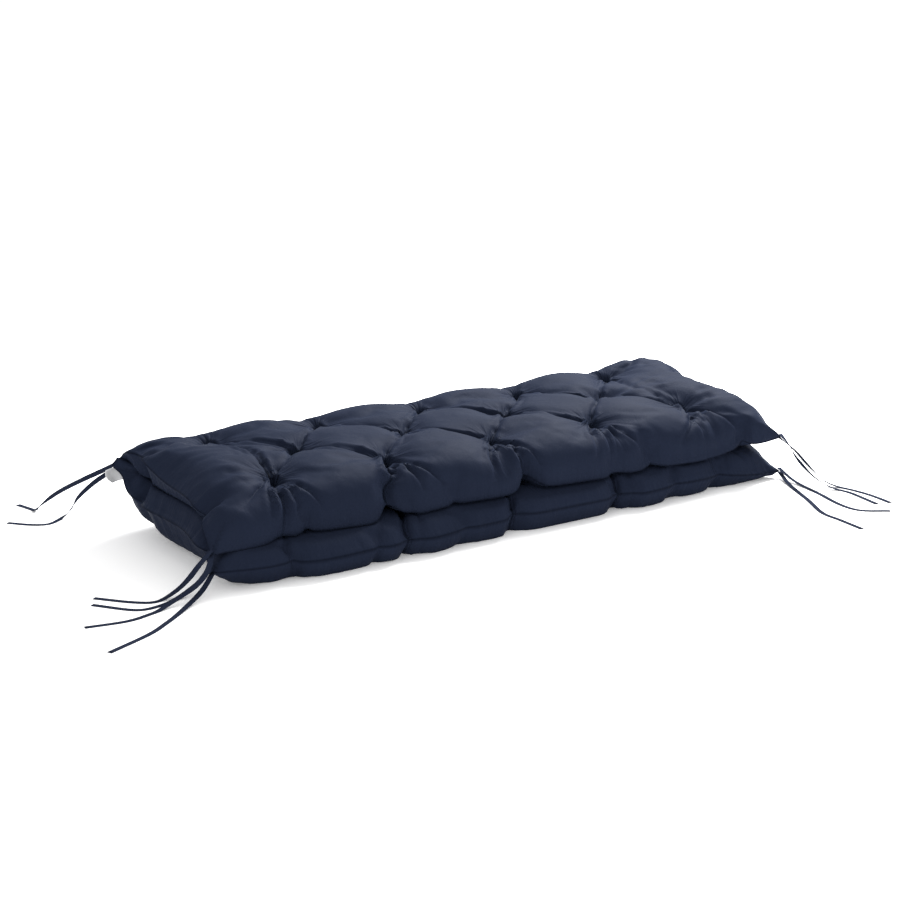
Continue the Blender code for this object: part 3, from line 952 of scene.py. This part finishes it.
def add_pull(mesh, place, reach):
    """Stores how the stitching pulls the cloth: directions round each tuft and runs along the seam."""
    away = np.full(len(place), NO_TUFT)
    fan = np.zeros((len(place), 3))
    for k, tuft in enumerate(tufts()):
        off = place - np.array(tuft)
        distance = np.hypot(*off.T)
        nearer = distance < away
        away[nearer] = distance[nearer]
        fan[nearer, :2] = off[nearer] / np.maximum(distance[nearer], FAN_CENTRE)[:, None]
        fan[nearer, 2] = FAN_STEP * k
    from_end, from_front = from_edges(place)
    at_front = from_front < from_end
    clear = np.clip(np.abs(from_end - from_front) / GATHER_CORNER, 0.0, 1.0)
    run = np.where(at_front, place[:, 0], place[:, 1])
    seam = np.where(at_front, 0.0, GATHER_END_STEP)
    gather = np.stack([run / GATHER_WIDTH, reach / GATHER_LENGTH, seam], axis=1)
    store(mesh, "from_seam", "FLOAT", "value", reach)
    store(mesh, "fan", "FLOAT_VECTOR", "vector", fan)
    store(mesh, "gather", "FLOAT_VECTOR", "vector", gather)
    store(mesh, "fan_pull", "FLOAT", "value", np.clip(1.0 - (away / FAN_REACH) ** 2, 0.0, 1.0) ** 2)
    crease, crease_pull = sharp_creases(place)
    store(mesh, "crease", "FLOAT", "value", crease)
    store(mesh, "crease_pull", "FLOAT", "value", crease_pull)
    store(mesh, "gather_pull", "FLOAT", "value", np.exp(-reach / GATHER_REACH) * clear)


def sharp_creases(place):
    """Signed distance of each point from the nearest deep fold, and how sharp that fold is there."""
    nearest = np.full(len(place), NO_CREASE)
    signed = np.zeros(len(place))
    pull = np.zeros(len(place))
    for start, end, _, near_depth, far_depth in crease_lines():
        if max(near_depth, far_depth) < SHARP_FROM:
            continue
        along = end - start
        t = np.clip((place - start) @ along / (along @ along), 0.0, 1.0)
        off = place - start - t[:, None] * along
        distance = np.hypot(*off.T)
        depth = near_depth + (far_depth - near_depth) * t
        sharp = np.clip((depth - SHARP_FROM) / (SHARP_FULL - SHARP_FROM), 0.0, 1.0)
        away = distance + (1.0 - sharp) * SHARP_FADE
        nearer = away < nearest
        nearest[nearer] = away[nearer]
        side = np.sign(off[:, 1] * along[0] - off[:, 0] * along[1])
        signed[nearer] = (distance * side)[nearer]
        pull[nearer] = sharp[nearer]
    return signed, pull * bump(signed, SHARP_REACH)


def store(mesh, name, kind, field, values):
    layer = mesh.attributes.new(name, kind, "POINT")
    layer.data.foreach_set(field, np.asarray(values, dtype=float).ravel())


def cloth_map(mesh, place):
    """Stores where on the flat cloth each point lies, in metres."""
    layer = mesh.uv_layers.get("cloth") or mesh.uv_layers.new(name="cloth")
    corners = np.zeros(len(mesh.loops), int)
    mesh.loops.foreach_get("vertex_index", corners)
    layer.data.foreach_set("uv", np.asarray(place)[corners].ravel())


def smooth_path(points):
    """Points spread along a smooth line through the given ones."""
    ends = [2 * points[0] - points[1]] + points + [2 * points[-1] - points[-2]]
    path = [points[0]]
    for k in range(1, len(ends) - 2):
        p0, p1, p2, p3 = ends[k - 1 : k + 3]
        pieces = max(1, round((p2 - p1).length / TIE_STEP))
        for j in range(1, pieces + 1):
            t = j / pieces
            bend = (2 * p0 - 5 * p1 + 4 * p2 - p3) * t**2 + (3 * p1 - p0 - 3 * p2 + p3) * t**3
            path.append(0.5 * (2 * p1 + (p2 - p0) * t + bend))
    for point in path:
        point.z = max(point.z, TIE_THICK / 2)
    return path


def tape_section():
    """Points round the tape as (across, up): thin in the middle, thicker at the stitched edges."""
    wide, thick = TIE_WIDTH / 2, TIE_THICK / 2
    ring = [(a * wide, b * thick) for a, b in TIE_OUTLINE]
    return ring + [(-a, -b) for a, b in ring]


def tape_frame(path, k, run):
    """Directions across the tape and out of its face at a point, turned on edge where it hangs."""
    ahead = path[min(k + 1, len(path) - 1)] - path[max(k - 1, 0)]
    across = Vector((-ahead.y, ahead.x, 0.0)).normalized()
    rise = ahead.cross(across).normalized()
    if rise.z < 0:
        rise = -rise
    height = (path[k].z - TIE_THICK / 2) / TIE_TURN_HEIGHT
    turn = TIE_TURN * min(run / TIE_TURN_RUN, 1.0) * min(height, 1.0)
    return across * math.cos(turn) - rise * math.sin(turn), rise * math.cos(turn) + across * math.sin(turn)


def tape_mesh(name, path):
    """The tape along a path, and its length."""
    section = tape_section()
    bm = bmesh.new()
    rings = []
    places = []
    run = 0.0
    for k, point in enumerate(path):
        run += (point - path[k - 1]).length if k else 0.0
        across, rise = tape_frame(path, k, run)
        rings.append([bm.verts.new(point + across * a + rise * b) for a, b in section])
        places += [(run, a) for a, _ in section]
    count = len(section)
    for one, other in zip(rings, rings[1:]):
        for k in range(count):
            bm.faces.new((one[k], one[(k + 1) % count], other[(k + 1) % count], other[k]))
    bm.faces.new(rings[0][::-1])
    bm.faces.new(rings[-1])
    bmesh.ops.recalc_face_normals(bm, faces=bm.faces)
    mesh = bpy.data.meshes.new(name)
    bm.to_mesh(mesh)
    bm.free()
    cloth_map(mesh, places)
    mesh.shade_smooth()
    return mesh, run


def make_tie(name, points, mat):
    points = [Vector(point) / MM_PER_M for point in points]
    points[0] += (points[0] - points[1]).normalized() * TIE_TUCK
    path = smooth_path(points)
    mesh, run = tape_mesh(name, path)
    obj = new_object(name, mesh, mat)
    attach(obj, "root")
    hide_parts("tie_" + name)


def make_label(mat):
    """A blank label with a rounded free edge, curled outwards."""
    corners = [Vector(corner) for corner in LABEL_CORNERS]
    out = (corners[1] - corners[0]).cross(corners[3] - corners[0]).normalized()
    bm = bmesh.new()
    grid = []
    places = []
    for i in range(LABEL_CELLS + 1):
        row = []
        for j in range(LABEL_CELLS + 1):
            s, t = i / LABEL_CELLS, j / LABEL_CELLS
            near_seam = corners[0].lerp(corners[1], s)
            far_edge = corners[3].lerp(corners[2], s)
            far_edge += (far_edge - near_seam).normalized() * LABEL_ROUND * math.sin(math.pi * s)
            bulge = LABEL_CURL * (math.sin(math.pi * t) + 0.5 * (s - 0.5) * t)
            row.append(bm.verts.new(near_seam.lerp(far_edge, t) + out * bulge))
            places.append((s * LABEL_SIZE[0], t * LABEL_SIZE[1]))
        grid.append(row)
    for i in range(LABEL_CELLS):
        for j in range(LABEL_CELLS):
            bm.faces.new((grid[i][j], grid[i + 1][j], grid[i + 1][j + 1], grid[i][j + 1]))
    mesh = bpy.data.meshes.new("label_cloth")
    bm.to_mesh(mesh)
    bm.free()
    cloth_map(mesh, places)
    mesh.shade_smooth()
    obj = new_object("label_cloth", mesh, mat)
    thick = obj.modifiers.new("thick", "SOLIDIFY")
    thick.thickness = LABEL_THICK
    thick.offset = 0.0
    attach(obj, "root")
    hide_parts("label")


def make_floor():
    bm = bmesh.new()
    bmesh.ops.create_grid(bm, x_segments=1, y_segments=1, size=FLOOR_SIZE)
    mesh = bpy.data.meshes.new("floor")
    bm.to_mesh(mesh)
    bm.free()
    mat = bpy.data.materials.new("floor_white")
    n = Nodes(mat)
    n.plug(n.shader.inputs["Base Color"], FLOOR_WHITE)
    n.plug(n.shader.inputs["Roughness"], FLOOR_ROUGH)
    # The floor glows a little: painted light that lifts its shadow and brightens the underside of the
    # cushion.
    n.plug(n.shader.inputs["Emission Color"], PURE_WHITE)
    n.plug(n.shader.inputs["Emission Strength"], FLOOR_GLOW)
    new_object("floor", mesh, mat)


def add_key_light():
    data = bpy.data.lights.new("key", "AREA")
    data.shape = "SQUARE"
    data.size = KEY_SIZE
    data.energy = KEY_WATTS
    light = bpy.data.objects.new("key", data)
    light.location = KEY_PLACE
    light.rotation_euler = (Vector(KEY_TARGET) - Vector(KEY_PLACE)).to_track_quat("-Z", "Y").to_euler()
    bpy.context.scene.collection.objects.link(light)


def light_studio():
    world = bpy.data.worlds.new("studio")
    world.use_nodes = True
    background = world.node_tree.nodes["Background"].inputs
    background["Color"].default_value = PURE_WHITE
    background["Strength"].default_value = SKY_STRENGTH
    bpy.context.scene.world = world
    add_key_light()
    bpy.context.scene.view_settings.view_transform = "Standard"


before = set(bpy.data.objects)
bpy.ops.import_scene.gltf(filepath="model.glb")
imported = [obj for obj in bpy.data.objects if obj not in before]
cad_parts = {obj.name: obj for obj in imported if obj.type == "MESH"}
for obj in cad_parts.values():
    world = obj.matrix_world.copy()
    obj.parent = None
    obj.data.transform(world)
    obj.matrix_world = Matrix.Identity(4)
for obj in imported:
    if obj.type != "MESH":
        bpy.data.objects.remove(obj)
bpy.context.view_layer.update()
add_camera()
navy_tape = woven(TAPE_CLOTH)
for tie_name, tie_points in TIE_PATHS.items():
    make_tie(tie_name, tie_points, navy_tape)
navy = woven(COVER_CLOTH, wrinkled=True)
cover = make_cushion(navy)
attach(cover, "root")
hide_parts("cushion")
grey = woven(LABEL_CLOTH)
make_label(grey)
make_floor()
light_studio()
